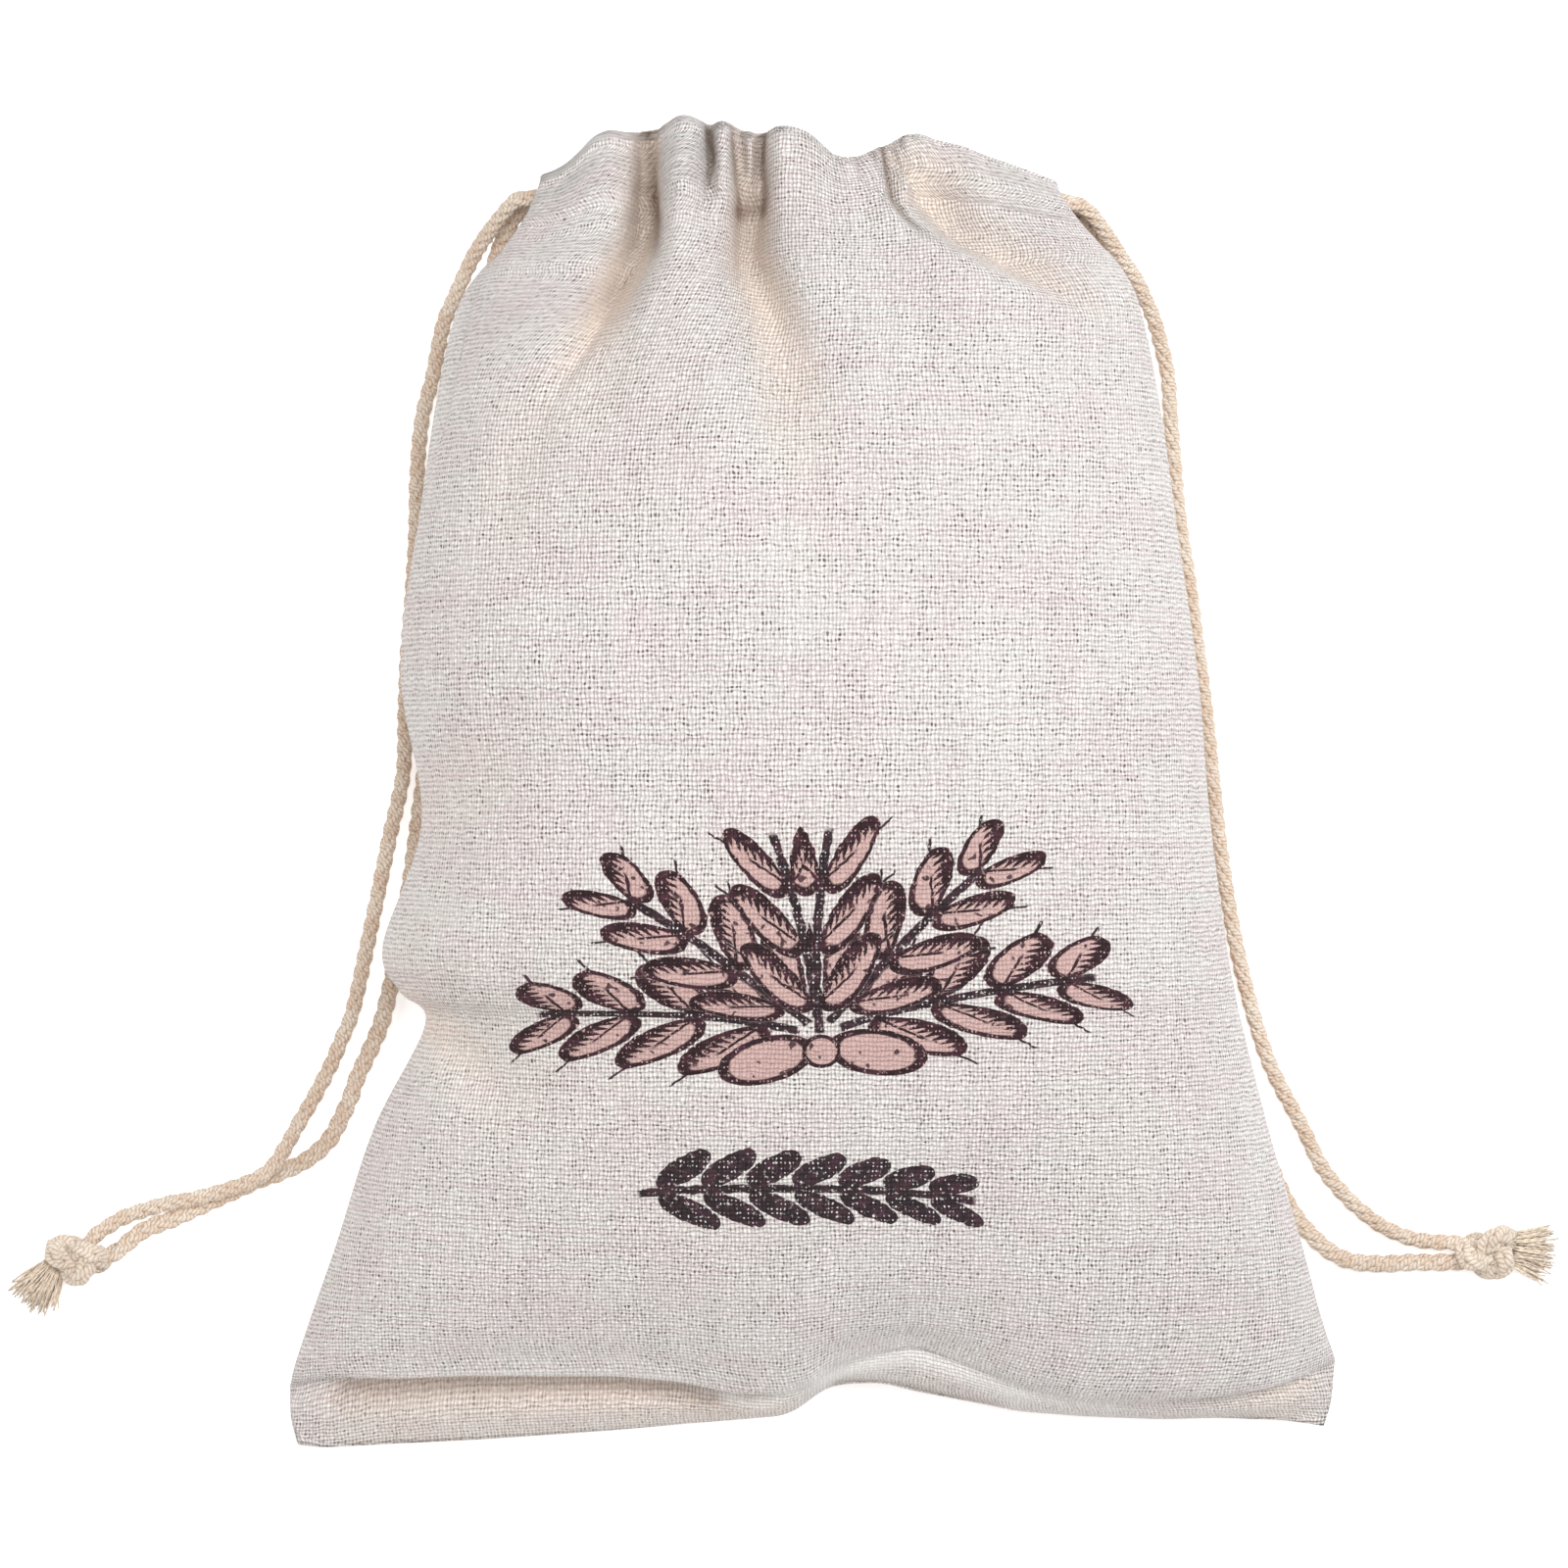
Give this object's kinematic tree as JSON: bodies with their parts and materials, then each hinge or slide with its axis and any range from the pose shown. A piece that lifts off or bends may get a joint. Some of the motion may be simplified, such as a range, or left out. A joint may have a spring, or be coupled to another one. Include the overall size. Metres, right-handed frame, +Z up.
{
  "type": "linen bread bag",
  "caption": "Linen drawstring bread bag lying on its back, its mouth gathered by cords that run in a casing and are knotted at each side.",
  "frame": {"origin": "on the surface the bag lies on, under the middle of its cloth's bounding box", "axes": "+Y from the sewn bottom to the gathered mouth, +X to the right seen from above, +Z up"},
  "size_m": [0.4529, 0.3763, 0.1172],
  "materials": {
    "linen": "matte plain-weave linen",
    "cotton_cord": "matte braided cotton"
  },
  "bodies": {
    "root": {"front_panel": "linen", "back_panel": "linen", "cord_left_front": "cotton_cord", "cord_left_back": "cotton_cord", "cord_right_front": "cotton_cord", "cord_right_back": "cotton_cord", "knot_left": "cotton_cord", "knot_right": "cotton_cord", "frayed_end_left": "cotton_cord", "frayed_end_right": "cotton_cord"}
  },
  "joints": []
}
